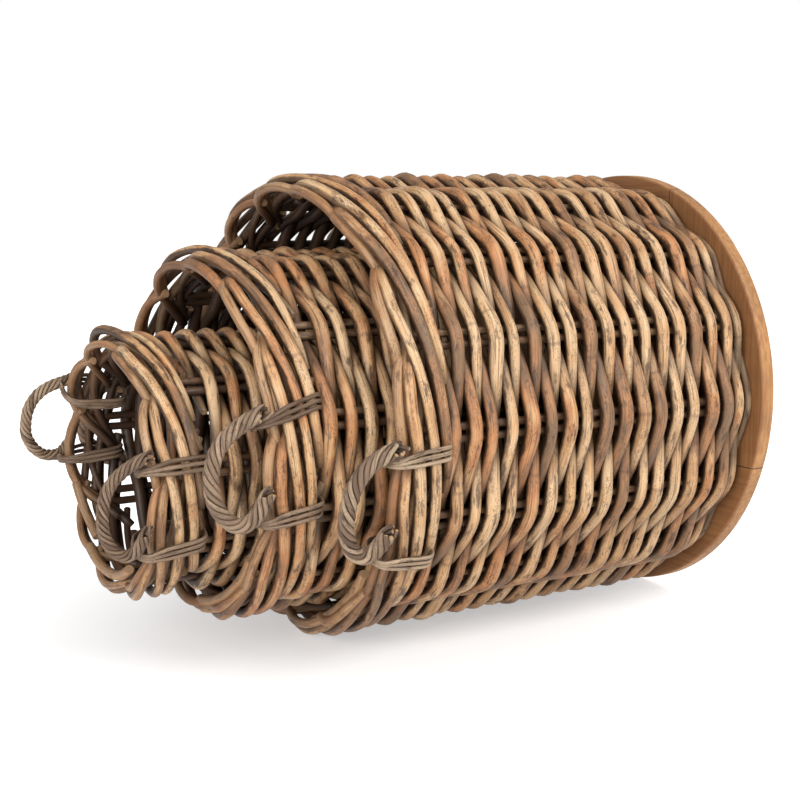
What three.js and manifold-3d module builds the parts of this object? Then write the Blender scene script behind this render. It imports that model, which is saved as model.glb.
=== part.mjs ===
// Three round nesting baskets of thick rattan, lying on their sides and drawn out of one another.
// Millimetres, +Z up. The floor is z = 0 and the baskets open towards -X.
import * as THREE from 'three';
import { mergeVertices } from 'three/addons/utils/BufferGeometryUtils.js';
import Module from 'manifold-3d';

const wasm = await Module();
wasm.setup();

// Sizes of the set
const largeRadius = 250;
const largeHeight = 486;
const mediumHeight = 400;
const smallHeight = 310;
const mediumSideRoom = 22;
const smallSideRoom = 24.5;
const mediumDrawnOut = 107;
const smallDrawnOut = 94;

// Wall: a plaited border, a woven wall a little inside it, and a foot that narrows to the board
const borderWidth = 60;
const borderThickness = 33;
const borderFrontRounding = 12;
const borderBackRounding = 6;
const weaveSetback = 3;
const footNarrowing = 11.5;
const footLength = 36;

// Rods of the wall stand out over every second pair of stakes and cross between the stakes
const rodCrownDepth = 0.7;
const rodCrossingDepth = 11;

// Rods of the plait start at the opening and slant backwards, one from each pair of stakes
const plaitPitch = 17;
const plaitStart = 4;
const plaitGrooveDepth = 8;
const scallopDepth = 7;

// Base board, with a blind seat for every pair of stakes
const boardThickness = 18;
const boardEdgeRounding = 2.5;
const seatFloor = 6;

// Stakes stand in pairs
const stakeThickness = 8.5;
const stakePairWidth = 14;
const largeStakePairs = 16;
const mediumStakePairs = 12;
const smallStakePairs = 9;

// Twisted rope handles, each end bound to the border by a lashing of cane strand
const largeRopeDiameter = 17;
const mediumRopeDiameter = 16;
const smallRopeDiameter = 12;
const handleReach = 42;
const ropeLead = 3;
const handleInset = 7;
const strandDiameter = 4.4;
const strandPitch = 4.9;
const lashingTurns = 3;

// Clearances
const restGap = 0.3;
const seamGap = 0.3;
const stakeClearance = 0.4;
const lashingClearance = 0.6;

// Facets of the round pieces, one of them flat on the floor
const facets = 32;
const ropeSides = 8;
const ropeSteps = 18;
const strandSides = 5;
const facetSpread = 1 / Math.cos(Math.PI / facets);

// Each lashing sits at a share of the free room between stake pair k and the next one up
const baskets = [
  {
    name: 'large',
    radius: largeRadius,
    height: largeHeight,
    stakePairs: largeStakePairs,
    firstStake: 0,
    weaveBands: 8,
    bandRows: 4,
    ropeDiameter: largeRopeDiameter,
    handles: [
      { side: 'near', lower: { stake: -2, share: 0.79 }, upper: { stake: -1, share: 1 } },
      { side: 'far', lower: { stake: 7, share: 1 }, upper: { stake: 6, share: 0.79 } },
    ],
  },
  {
    name: 'medium',
    radius: largeRadius - borderThickness - mediumSideRoom,
    height: mediumHeight,
    stakePairs: mediumStakePairs,
    firstStake: 11.5,
    weaveBands: 4,
    bandRows: 6,
    ropeDiameter: mediumRopeDiameter,
    handles: [
      { side: 'near', lower: { stake: -1, share: 0 }, upper: { stake: 0, share: 0 } },
      { side: 'far', lower: { stake: 6, share: 0 }, upper: { stake: 5, share: 0 } },
    ],
  },
  {
    name: 'small',
    radius: largeRadius - 2 * borderThickness - mediumSideRoom - smallSideRoom,
    height: smallHeight,
    stakePairs: smallStakePairs,
    firstStake: 7,
    weaveBands: 2,
    bandRows: 8,
    ropeDiameter: smallRopeDiameter,
    handles: [
      { side: 'near', lower: { stake: -1, share: 0 }, upper: { stake: 0, share: 0 } },
      { side: 'far', lower: { stake: 4, share: 0.5 }, upper: { stake: 3, share: 0.5 } },
    ],
  },
];

// Colours of the cane, the board and the rope
const cane = { color: 0xa98257, roughness: 0.62, metalness: 0 };
const paleCane = { color: 0xbb9567, roughness: 0.6, metalness: 0 };
const boardWood = { color: 0x9a6a3c, roughness: 0.5, metalness: 0 };
const greyCane = { color: 0x94806a, roughness: 0.7, metalness: 0 };

// Solids and meshes
function solidOf(geometry) {
  geometry.deleteAttribute('normal');
  geometry.deleteAttribute('uv');
  const merged = mergeVertices(geometry, 1e-4);
  const points = merged.attributes.position.array;
  const corners = [];
  let volume = 0;
  for (let i = 0; i < merged.index.count; i += 3) {
    const [a, b, c] = [0, 1, 2].map((k) => merged.index.getX(i + k));
    if (a === b || b === c || c === a) continue;
    corners.push([a, b, c]);
    const [p, q, r] = [a, b, c].map((k) => new THREE.Vector3().fromArray(points, 3 * k));
    volume += p.dot(q.cross(r));
  }
  if (volume < 0) corners.forEach((triangle) => triangle.reverse());
  const mesh = new wasm.Mesh({
    numProp: 3,
    vertProperties: new Float32Array(points),
    triVerts: new Uint32Array(corners.flat()),
  });
  return new wasm.Manifold(mesh);
}

function geometryOf(solid) {
  const mesh = solid.getMesh();
  const geometry = new THREE.BufferGeometry();
  geometry.setAttribute('position', new THREE.BufferAttribute(mesh.vertProperties, 3));
  geometry.setIndex(new THREE.BufferAttribute(mesh.triVerts, 1));
  geometry.computeVertexNormals();
  return geometry;
}

function addPiece(group, name, solid, finish) {
  const mesh = new THREE.Mesh(geometryOf(solid), new THREE.MeshStandardMaterial(finish));
  mesh.name = name;
  group.add(mesh);
}

// A round piece from its section, given as points of distance from the opening and radius
function ring(section) {
  const outline = [...section, section[0]].map(([s, r]) => new THREE.Vector2(r * facetSpread, s));
  const geometry = new THREE.LatheGeometry(outline, facets, Math.PI / facets);
  return solidOf(geometry.rotateZ(-Math.PI / 2));
}

// A round piece whose section is another one at each angle above the near side
function changingRing(sectionAt, sides, firstAngle) {
  const points = [];
  for (let i = 0; i <= sides; i += 1) {
    const degrees = firstAngle - (360 * i) / sides;
    const angle = THREE.MathUtils.degToRad(degrees);
    for (const [s, r] of sectionAt(degrees)) {
      points.push(new THREE.Vector3(s, -r * Math.cos(angle), r * Math.sin(angle)));
    }
  }
  const count = points.length / (sides + 1);
  const radius = (k) => Math.hypot(points[k].y, points[k].z);
  const corners = [];
  for (let i = 0; i < sides; i += 1) {
    for (let j = 0; j < count; j += 1) {
      const [a, b] = [i * count + j, i * count + ((j + 1) % count)];
      const [c, d] = [a + count, b + count];
      const crownOnSecond = Math.max(radius(b), radius(c)) > Math.max(radius(a), radius(d));
      corners.push(...(crownOnSecond ? [a, b, c, b, d, c] : [a, b, d, a, d, c]));
    }
  }
  const geometry = new THREE.BufferGeometry().setFromPoints(points);
  geometry.setIndex(corners);
  return solidOf(geometry);
}

// Places: x along the basket, y outwards and z around it at an angle above the near side
function turnTo(geometry, degrees) {
  const angle = THREE.MathUtils.degToRad(degrees);
  const along = new THREE.Vector3(1, 0, 0);
  const outward = new THREE.Vector3(0, -Math.cos(angle), Math.sin(angle));
  const around = new THREE.Vector3().crossVectors(along, outward);
  return geometry.applyMatrix4(new THREE.Matrix4().makeBasis(along, outward, around));
}

function quarterArc(s, r, radius, fromDegrees, steps) {
  return Array.from({ length: steps + 1 }, (_, i) => {
    const angle = THREE.MathUtils.degToRad(fromDegrees + (90 * i) / steps);
    return [s + radius * Math.cos(angle), r + radius * Math.sin(angle)];
  });
}

// Border section, counter-clockwise from the middle of its inner side
function borderSection(inner, outer) {
  const front = borderFrontRounding;
  const back = borderBackRounding;
  return [
    [borderWidth / 2, inner],
    ...quarterArc(borderWidth - back, inner + back, back, 270, 1),
    ...quarterArc(borderWidth - back, outer - back, back, 0, 1),
    ...quarterArc(front, outer - front, front, 90, 2),
    ...quarterArc(front, inner + front, front, 180, 2),
  ];
}

// Places along a basket's height, from the opening towards the base
const weaveStart = borderWidth + strandDiameter + 2 * lashingClearance;
const boardFace = (basket) => basket.height - boardThickness;
const footStart = (basket) => boardFace(basket) - footLength;
const innerRadius = (basket) => basket.radius - borderThickness;
const stakeRadius = (basket) => (basket.radius - weaveSetback + innerRadius(basket)) / 2;
const stakeSpacing = (basket) => 360 / basket.stakePairs;

// One pair of stakes, bent inwards at the foot and set into the board
function stakePair(basket, index, clearance, seatEnd) {
  const half = stakeThickness / 2 + clearance;
  const middle = stakeRadius(basket);
  const path = [
    [borderWidth - borderBackRounding, middle],
    [footStart(basket), middle],
    [boardFace(basket), middle - footNarrowing],
    [seatEnd, middle - footNarrowing],
  ];
  const outline = new THREE.Shape([
    ...path.map(([s, r]) => new THREE.Vector2(s, r - half)),
    ...path.reverse().map(([s, r]) => new THREE.Vector2(s, r + half)),
  ]);
  const width = stakePairWidth + 2 * clearance;
  const geometry = new THREE.ExtrudeGeometry(outline, { depth: width, bevelEnabled: false });
  geometry.translate(0, 0, -width / 2);
  return solidOf(turnTo(geometry, basket.firstStake + index * stakeSpacing(basket)));
}

function stakePairs(basket, clearance, seatEnd) {
  return Array.from({ length: basket.stakePairs }, (_, i) => stakePair(basket, i, clearance, seatEnd));
}

// Border section at an angle: the crowns of the plait and the grooves between them run from the
// opening to the back of the border, and the edge at the opening is scalloped
function plaitSection(basket, degrees) {
  const inner = innerRadius(basket) * facetSpread;
  const outer = basket.radius * facetSpread;
  const front = borderFrontRounding;
  const back = borderWidth - borderBackRounding;
  const travelled = (basket.firstStake - degrees) / stakeSpacing(basket);
  const scallop = scallopDepth * Math.max(0, Math.cos(2 * Math.PI * (travelled - 0.1)));
  const plait = Array.from({ length: 2 * basket.stakePairs + 8 }, (_, i) => {
    const s = plaitStart + plaitPitch * (travelled + 4 - i / 2);
    if (s > back) return [back, outer];
    if (s < front + scallop) return [front + scallop, outer];
    return [s, i % 2 ? outer - plaitGrooveDepth : outer];
  });
  const edge = [
    ...quarterArc(front, outer - front, front, 90, 2),
    ...quarterArc(front, inner + front, front, 180, 2),
  ];
  return [
    [borderWidth / 2, inner],
    ...quarterArc(back, inner + borderBackRounding, borderBackRounding, 270, 1),
    ...quarterArc(back, outer - borderBackRounding, borderBackRounding, 0, 1),
    ...plait,
    ...edge.map(([s, r]) => [s + scallop, r]),
  ];
}

// The border is plaited from the stakes' own ends, so both are one piece
function stakesAndBorder(basket) {
  const border = changingRing((degrees) => plaitSection(basket, degrees), facets, 180 / facets);
  const stakes = stakePairs(basket, 0, basket.height - seatFloor);
  return stakes.reduce((cage, stake) => cage.add(stake), border);
}

// A band of rows of the woven wall, with a slot for every pair of stakes
function weaveBand(basket, start, end, firstRow, rows, slots) {
  const pitch = (end - start) / rows;
  const outerSection = (degrees) => {
    const halves = Math.round((2 * (degrees - basket.firstStake)) / stakeSpacing(basket));
    const stake = (halves / 2 + basket.stakePairs) % basket.stakePairs;
    const outline = [];
    for (let row = 0; row < rows; row += 1) {
      const crown = (firstRow + row + stake) % 2 === 0;
      const place = start + pitch * row;
      const middle = crown ? place + pitch / 2 : place;
      const crownDepth = crown ? rodCrownDepth : rodCrossingDepth;
      outline.push([place, basket.radius - rodCrossingDepth]);
      outline.push([middle, basket.radius - crownDepth]);
    }
    return [[start, 0], ...outline, [end, basket.radius - rodCrossingDepth], [end, 0]];
  };
  const inner = innerRadius(basket);
  const room = ring([
    [start - 1, 0],
    [start - 1, inner],
    [end + 1, inner],
    [end + 1, 0],
  ]);
  const band = changingRing(outerSection, 2 * basket.stakePairs, basket.firstStake).subtract(room);
  return slots.reduce((solid, slot) => solid.subtract(slot), band);
}

// The foot of the wall draws in towards the board
function weaveFoot(basket, start, end, slots) {
  const outer = basket.radius - weaveSetback;
  const inner = innerRadius(basket);
  const drawnIn = (footNarrowing * (end - start)) / footLength;
  const foot = ring([
    [start, inner],
    [start, outer],
    [end, outer - drawnIn],
    [end, inner - drawnIn],
  ]);
  return slots.reduce((solid, slot) => solid.subtract(slot), foot);
}

function baseBoard(basket, slots) {
  const face = boardFace(basket);
  const edge = boardEdgeRounding;
  const board = ring([
    [face, 0],
    [face, basket.radius - edge],
    [face + edge, basket.radius],
    [basket.height - edge, basket.radius],
    [basket.height, basket.radius - edge],
    [basket.height, 0],
  ]);
  return slots.reduce((solid, slot) => solid.subtract(slot), board);
}

// Lashings sit beside the stakes
function lashingAngle(basket, { stake, share }) {
  const lashingWidth = lashingTurns * strandPitch + strandDiameter;
  const reach = (stakePairWidth + lashingWidth) / 2 + stakeClearance;
  const beside = THREE.MathUtils.radToDeg(Math.asin(reach / stakeRadius(basket)));
  const free = stakeSpacing(basket) - 2 * beside;
  return basket.firstStake + stake * stakeSpacing(basket) + beside + share * free;
}

// Outline moved outwards by a distance, with the mitre of each corner
function movedOut(section, distance) {
  return section.map(([s, r], i) => {
    const before = section[(i + section.length - 1) % section.length];
    const after = section[(i + 1) % section.length];
    const normalIn = new THREE.Vector2(r - before[1], before[0] - s).normalize();
    const normalOut = new THREE.Vector2(after[1] - r, s - after[0]).normalize();
    const mitre = normalIn.clone().add(normalOut).normalize();
    const stretch = 1 / mitre.dot(normalIn);
    return {
      place: new THREE.Vector2(s, r).addScaledVector(mitre, distance * stretch),
      mitre: mitre.multiplyScalar(stretch),
    };
  });
}

// One unbroken strand wound round the border, as rings of points
function strandRings(basket) {
  const section = borderSection(innerRadius(basket), basket.radius * facetSpread);
  const track = movedOut(section, lashingClearance + strandDiameter / 2);
  const lengths = track.map(({ place }, i) => place.distanceTo(track[(i + 1) % track.length].place));
  const perimeter = lengths.reduce((sum, length) => sum + length, 0);
  const rings = [];
  let travelled = 0;
  for (let k = 0; k <= lashingTurns * track.length; k += 1) {
    const { place, mitre } = track[k % track.length];
    const across = strandPitch * (travelled / perimeter - lashingTurns / 2);
    const circle = Array.from({ length: strandSides }, (_, j) => {
      const angle = (2 * Math.PI * j) / strandSides;
      const out = (Math.cos(angle) * strandDiameter) / 2;
      const side = (Math.sin(angle) * strandDiameter) / 2;
      return new THREE.Vector3(place.x + mitre.x * out, place.y + mitre.y * out, across + side);
    });
    rings.push(circle);
    travelled += lengths[k % track.length];
  }
  return rings;
}

function leastGapToItself(rings, turnSteps) {
  let least = Infinity;
  for (let i = 0; i < rings.length; i += 1) {
    for (let j = i + Math.ceil(turnSteps / 2); j < rings.length; j += 1) {
      for (const p of rings[i]) {
        for (const q of rings[j]) least = Math.min(least, p.distanceTo(q));
      }
    }
  }
  return least;
}

function skinOf(rings) {
  const sides = rings[0].length;
  const last = (rings.length - 1) * sides;
  const corners = [];
  for (let i = 0; i < rings.length - 1; i += 1) {
    for (let j = 0; j < sides; j += 1) {
      const next = (j + 1) % sides;
      const [a, b] = [i * sides + j, i * sides + next];
      corners.push(a, b, b + sides, a, b + sides, a + sides);
    }
  }
  for (let j = 1; j < sides - 1; j += 1) {
    corners.push(0, j + 1, j, last, last + j, last + j + 1);
  }
  const geometry = new THREE.BufferGeometry().setFromPoints(rings.flat());
  geometry.setIndex(corners);
  return geometry;
}

// Rope loop standing out of the border between its two lashings
function ropeHandle(basket, lowerAngle, upperAngle) {
  const halfSpan = THREE.MathUtils.degToRad((upperAngle - lowerAngle) / 2);
  const rootRadius = basket.radius - handleInset;
  const halfWidth = rootRadius * Math.sin(halfSpan);
  const plane = rootRadius * Math.cos(halfSpan);
  const rootFront = -(strandDiameter + lashingClearance + seamGap);
  const bendFront = rootFront - ropeLead;
  const bend = Array.from({ length: ropeSteps + 1 }, (_, i) => {
    const angle = (Math.PI * i) / ropeSteps;
    const reach = (handleReach + bendFront) * Math.sin(angle);
    return new THREE.Vector3(bendFront - reach, plane, halfWidth * Math.cos(angle));
  });
  const root = (side) => new THREE.Vector3(rootFront, plane, side * halfWidth);
  const points = [root(1), ...bend, root(-1)];
  const section = new THREE.Shape(
    Array.from({ length: ropeSides }, (_, j) => {
      const angle = (2 * Math.PI * j) / ropeSides;
      const radius = basket.ropeDiameter / 2;
      return new THREE.Vector2(radius * Math.cos(angle), radius * Math.sin(angle));
    }),
  );
  const path = new THREE.CatmullRomCurve3(points);
  const geometry = new THREE.ExtrudeGeometry(section, { steps: ropeSteps, extrudePath: path });
  return solidOf(turnTo(geometry, (lowerAngle + upperAngle) / 2));
}

// One basket, with the middle of its opening at the group's origin
function buildBasket(basket) {
  const group = new THREE.Group();
  const { name } = basket;
  const slots = stakePairs(basket, stakeClearance, basket.height - seatFloor + stakeClearance);
  addPiece(group, `${name}_base_board`, baseBoard(basket, slots), boardWood);
  addPiece(group, `${name}_stakes_and_border`, stakesAndBorder(basket), paleCane);

  const bandPitch = (footStart(basket) - weaveStart) / basket.weaveBands;
  const { weaveBands, bandRows } = basket;
  for (let i = 0; i < weaveBands; i += 1) {
    const start = weaveStart + i * bandPitch;
    const band = weaveBand(basket, start, start + bandPitch - seamGap, i * bandRows, bandRows, slots);
    addPiece(group, `${name}_weave_band_${i + 1}`, band, cane);
  }
  const footEnd = boardFace(basket) - seamGap;
  const foot = weaveFoot(basket, footStart(basket), footEnd, slots);
  addPiece(group, `${name}_weave_foot`, foot, cane);

  const rings = strandRings(basket);
  const gap = leastGapToItself(rings, (rings.length - 1) / lashingTurns);
  console.log(`${name} lashing, least gap to itself: ${gap.toFixed(2)} mm`);
  for (const { side, lower, upper } of basket.handles) {
    const lowerAngle = lashingAngle(basket, lower);
    const upperAngle = lashingAngle(basket, upper);
    const rope = ropeHandle(basket, lowerAngle, upperAngle);
    addPiece(group, `${name}_${side}_handle`, rope, greyCane);
    for (const [end, angle] of [['lower', lowerAngle], ['upper', upperAngle]]) {
      const lashing = solidOf(turnTo(skinOf(rings), angle));
      addPiece(group, `${name}_${side}_${end}_lashing`, lashing, greyCane);
    }
  }
  return group;
}

// The set at rest: every basket lies on the inside of the next one, at its own draw
const group = new THREE.Group();
const smallFront = -mediumDrawnOut - smallDrawnOut;
const farthestFront = smallFront - handleReach - smallRopeDiameter / 2;
const middleOfSet = (farthestFront + largeHeight) / 2;
const fronts = [0, -mediumDrawnOut, smallFront];
let axisHeight = largeRadius;
baskets.forEach((basket, i) => {
  if (i > 0) axisHeight += basket.radius + restGap - innerRadius(baskets[i - 1]);
  const built = buildBasket(basket);
  built.position.set(fronts[i] - middleOfSet, 0, axisHeight);
  group.add(built);
});

export default group;
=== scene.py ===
"""Three nesting baskets of thick rattan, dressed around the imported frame: woven walls on paired
stakes, plaited borders, twisted rope handles bound by lashings, and plank base boards."""

import math
from dataclasses import dataclass

import bmesh
import bpy
import numpy as np
from bpy.props import FloatProperty, FloatVectorProperty, IntProperty, PointerProperty
from mathutils import Matrix, Vector


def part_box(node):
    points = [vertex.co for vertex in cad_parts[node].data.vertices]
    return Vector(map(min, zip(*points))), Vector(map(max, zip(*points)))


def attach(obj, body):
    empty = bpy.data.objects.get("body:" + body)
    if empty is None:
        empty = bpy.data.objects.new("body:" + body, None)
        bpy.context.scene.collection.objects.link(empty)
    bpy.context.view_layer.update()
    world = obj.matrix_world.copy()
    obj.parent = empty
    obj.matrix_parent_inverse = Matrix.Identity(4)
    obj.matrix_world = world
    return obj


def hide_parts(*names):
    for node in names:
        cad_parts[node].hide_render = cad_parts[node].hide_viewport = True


bl_info = {
    "name": "Nesting rattan baskets",
    "version": (1, 0, 0),
    "blender": (4, 5, 0),
    "location": "View3D > Sidebar > Baskets",
    "description": "Weaves three nesting rattan baskets around their packed frame",
    "category": "Add Mesh",
}

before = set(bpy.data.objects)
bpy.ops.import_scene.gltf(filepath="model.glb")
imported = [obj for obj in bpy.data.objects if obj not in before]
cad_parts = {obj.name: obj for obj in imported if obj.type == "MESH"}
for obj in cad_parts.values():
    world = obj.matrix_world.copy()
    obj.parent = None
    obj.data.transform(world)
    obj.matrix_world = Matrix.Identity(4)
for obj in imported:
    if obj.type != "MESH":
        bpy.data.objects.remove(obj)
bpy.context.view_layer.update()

# Rows of every basket's foot
FOOT_ROWS = 3

# Depth of the wall from its outer to its inner face, between which distances behind the opening
# its light fades, and between which shares of the depth the outer side turns into the inner one
WALL_DEPTH = 0.033
RIM_LIGHT = (0.01225, 0.04725)
INNER_SIDE = (0.1, 0.4333)

# Range of half the intervals that a wall rod spans, and the most that the last one may
HALF_ROD_SPANS = (4, 9)
LAST_ROD_SPAN = 20

# How unevenly the cane grew: the shares by which rods of one row differ and by which a single
# one wavers, and how far each kind strays from its path, in metres
ROD_DIFFERENCE = 0.04
ROD_WAVERING = 0.03
TREMBLE = {"wall": 0.0004, "stake": 0.0005, "butt": 0.0006}

# Share of its thickness by which a rod's thin end lies beside its row, and by how many radians
# the wall's waviness moves on from row to row
TIP_ASIDE = 0.45
DRIFT_STEP = 0.35

# Distance behind the opening at which stakes start under the border, how deep they stand in the
# board, and the steps of their paths
STAKE_TOP = 0.040
STAKE_SEAT = 0.008
STAKE_STEPS = 30

# Ranges of the tones of the stakes and of the thick rods in the mouths
STAKE_TONES = (0.0, 0.3)
BUTT_TONES = (0.35, 0.55)

# Between which distances behind the opening the rim's waves die out, over how many degrees a
# proud rod stands out, and the share of its straying by which a border rod strays in depth
RIM_ZONE = (0.02, 0.06)
PROUD_SPREAD = 22
DEPTH_STRAYING = 0.4

# Border rods of one stake interval: intervals travelled, distance behind the opening and
# depth under the plait's own outer face, in millimetres
OUTER_BORDER_ROD = (
    (-0.45, 62, 18), (-0.20, 48, 21), (0.05, 28, 20), (0.30, 17, 12.5), (0.50, 14.5, 8.0),
    (0.70, 15, 6.6), (0.95, 20, 6.2), (1.20, 25, 6.2), (1.60, 33, 6.2), (2.0, 40, 6.2),
    (2.5, 47.5, 6.4), (3.0, 54, 8.5), (3.3, 60, 13), (3.5, 64, 19),
)
MIDDLE_BORDER_ROD = (
    (-0.35, 62, 18), (-0.10, 50, 19.5), (0.20, 39, 19.5), (0.60, 33, 17.5), (1.0, 31, 17),
    (1.5, 40, 17), (2.0, 48, 17.5), (2.5, 56, 18), (2.8, 62, 18),
)
SHORT_BORDER_ROD = (
    (-0.35, 50, 27), (-0.10, 34, 25), (0.0, 26, 23.5), (0.20, 14, 19.5), (0.45, 7.5, 16),
    (0.70, 7.5, 15), (0.90, 10, 15.5), (1.06, 14, 18), (1.22, 19, 23),
)

# The plait's courses, with their rods' thickness as a share
BORDER_COURSES = ((SHORT_BORDER_ROD, 0.96), (MIDDLE_BORDER_ROD, 0.92), (OUTER_BORDER_ROD, 1.0))

# The near handles' rope from its lower to its upper tip: share of its reach, share of the
# handle's half width downwards, and distance outwards in millimetres
ROPE_PATH = (
    (-0.10, 0.10, 18), (0.03, 0.30, 15), (0.12, 0.52, 12), (0.20, 0.68, 8), (0.33, 0.81, 4),
    (0.52, 0.82, 1), (0.75, 0.66, 0), (0.93, 0.36, 0), (1.0, 0.02, 0), (0.98, -0.3, 0),
    (0.88, -0.62, 0), (0.70, -0.88, 1), (0.50, -1.05, 3), (0.30, -1.20, 7), (0.10, -1.33, 12),
    (-0.12, -1.45, 17),
)

# The same for the far handles, whose tips run further back along the border
FAR_ROPE_PATH = (
    (-0.50, 0.36, 18), (-0.42, 0.50, 17), (-0.24, 0.68, 14), (-0.03, 0.75, 9), (0.15, 0.73, 5),
    (0.45, 0.67, 2), (0.77, 0.45, 0), (0.98, 0.11, 0), (1.01, -0.21, 0), (0.95, -0.57, 0),
    (0.76, -0.87, 0), (0.47, -1.07, 1), (0.08, -1.17, 4), (-0.20, -1.20, 7), (-0.42, -1.26, 9),
    (-0.60, -1.42, 10),
)

# One turn of a lashing: distance behind the opening and height over the basket's outer face,
# in millimetres
LASHING_TURN = (
    (-2, -14), (-1.5, -6), (5, 0.5), (14, 1.8), (32, 2), (50, 1.8), (59, 0), (64, -6), (65, -17),
    (62, -30), (52, -36.5), (30, -37), (8, -35), (0, -26),
)

# The rope's steps, the length over which its tips thin, by what share they do and draw together,
# how much strands differ, and by how many steps they end apart
ROPE_STEPS = 150
TIP_LENGTH = 0.012
TIP_THINNING = 0.3
TIP_GATHERING = 0.12
STRAND_DIFFERENCE = 0.08
FRAYED_STEPS = 12

# Distance behind the opening over which lashings fan out, and where they have come to their end
LASHING_FAN = 0.025
LASHING_END = 0.06

# Facets of the rods, the narrowing at their ends, and steps of their paths
ROD_SIDES = 12
ROD_CHAMFER = 0.0008
STRAND_SIDES = 8
STRAND_CHAMFER = 0.0004
STEPS_PER_INTERVAL = 12
LASHING_STEPS = 4

# Facets of a board and the rounding of its edges
BOARD_SIDES = 160
BOARD_EDGE = 0.0025

# How far below and beside a board's middle its two seams run, as shares of its radius, between
# which distances from its middle a seam pales, and between which depths the front face's darker
# colour fades out
LYING_SEAM = 0.3
UPRIGHT_SEAM = 0.36
SEAM_EDGE = (0.0003, 0.0011)
FACE_DARKENING_DEPTH = (0.0008, 0.0024)

# Distance between the node rings of a rod
NODE_SPACING = 0.31

# How strongly colours are laid over the cane: specks, drying lines, stains, node rings, the painted warm
# light on the inner rim and the painted shade inside the walls, and how much of that painted shade is
# lifted at the rim, where light reaches in
SPECKS = 0.65
LINES = 0.62
STAINS = 0.78
RINGS = 0.35
PAINTED_WARM_LIGHT = 0.34
PAINTED_DEPTH_SHADE = 0.76
RIM_SHADE_LIFT = 0.68


def distance(name, description, default):
    """A length property, in metres."""
    return FloatProperty(
        name=name, description=description, default=default, unit="LENGTH", subtype="DISTANCE",
        precision=4,
    )


def number(name, description, default):
    """A property that is a plain number."""
    return FloatProperty(name=name, description=description, default=default)


def colour(name, description, red, green, blue):
    """A colour property, given as it looks on a screen from 0 to 255."""
    linear = [((c / 255 + 0.055) / 1.055) ** 2.4 for c in (red, green, blue)]
    return FloatVectorProperty(
        name=name, description=description, default=linear, subtype="COLOR", size=3, min=0, max=1
    )


class BasketWallSettings(bpy.types.PropertyGroup):
    """How the walls are woven."""

    setback: distance("Wall middle", "Depth of the stakes under the basket's outer face", 0.0174)
    stake_thickness: distance("Stake thickness", "Diameter of one stake", 0.0085)
    stake_spread: distance("Stake spread", "Distance between the two stakes of a pair", 0.0125)
    press: distance("Press", "How far rods press into the stakes they cross", 0.0010)
    crossing: number("At crossings", "Rod thickness where rows cross, as a share", 1.03)
    elbow: number("At elbows", "Rod thickness over the stakes, as a share", 1.17)
    rod_variation: number("Rod variation", "How much rods differ in thickness, as a share", 0.17)
    squareness: number("Squareness", "How sharply rods bend over the stakes", 0.09)
    wander: distance("Wander", "How far rods stray from their rows", 0.0014)
    tip_thickness: distance("Tip thickness", "Diameter of a rod's thin end", 0.0074)
    tip_length: number("Tip length", "Length over which a rod's end thins, in intervals", 0.7)
    tip_overlap: number("Tip overlap", "How far two rods pass each other, in intervals", 0.36)
    last_rows: number("Last rows", "Rod thickness of the two rows at the board, as a share", 0.72)
    depth: distance("Depth", "How deep rods reach under the outer face at the bottom", 0.0328)
    room: distance("Room", "How much further they may reach at the side", 0.010)
    foot_narrowing: distance("Foot narrowing", "How far the wall draws in at the board", 0.0115)
    foot_length: distance("Foot length", "Height over which the foot draws in", 0.036)


class BasketBorderSettings(bpy.types.PropertyGroup):
    """How the borders are plaited."""

    wander: distance("Wander", "How far rods stray from the plait", 0.002)
    lean: distance("Lean", "How far a rod's ends stray from its slant", 0.0055)
    rise: distance("Rise", "How far the plait's own outer face stands over the basket's", 0.0059)
    butt_share: number("Butts", "Thickness of the mouth's thick rods, in border rods", 1.12)
    variation: number("Rod variation", "How much rods differ in thickness, as a share", 0.18)


class BasketHandleSettings(bpy.types.PropertyGroup):
    """How the rope handles and their lashings are made."""

    inset: distance("Inset", "Depth of the rope under the outer face", 0.007)
    strands: IntProperty(name="Strands", description="Strands twisted into the rope", default=6)
    strand_share: number("Strand thickness", "Thickness of a strand as a share of the rope's", 0.30)
    lay_share: number("Lay", "Length in which a strand goes round once, in rope thicknesses", 3.3)
    lashing_thickness: distance("Lashing thickness", "Diameter of a lashing's strand", 0.0043)
    lashing_pitch: distance("Lashing pitch", "Distance between turns of a lashing", 0.0058)
    lashing_turns: IntProperty(name="Lashing turns", description="Turns of each lashing", default=3)
    gathering: number("Gathering", "Share of the pitch that is left at the opening", 0.35)


class BasketColourSettings(bpy.types.PropertyGroup):
    """Colours of the cane and the wood."""

    cream: colour("Cream cane", "Palest rods", 214, 179, 138)
    golden: colour("Golden cane", "Most of the rods", 202, 158, 112)
    orange: colour("Orange cane", "Warm rods, also the painted light on the inner rim", 186, 128, 82)
    brown: colour("Brown cane", "Weathered rods", 156, 112, 76)
    grey: colour("Grey cane", "Oldest rods", 126, 97, 70)
    stain: colour("Stain", "Dark blotches and node rings", 62, 40, 28)
    shadow: colour("Painted shade", "Painted shade inside the walls, and shade with some grime between rods", 56, 36, 22)
    pith: colour("Pith", "Cut ends", 190, 152, 112)
    rope: colour("Rope", "Strands of handles and lashings", 148, 123, 100)
    rope_pale: colour("Pale rope", "Paler strands", 178, 154, 127)
    rope_dark: colour("Dark rope", "Darker strands", 104, 82, 64)
    wood: colour("Wood", "Boards", 188, 138, 87)
    wood_face: colour("Face wood", "Faces of the boards", 112, 66, 34)
    wood_dark: colour("Wood grain", "Darker years of the boards", 150, 98, 58)


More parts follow.
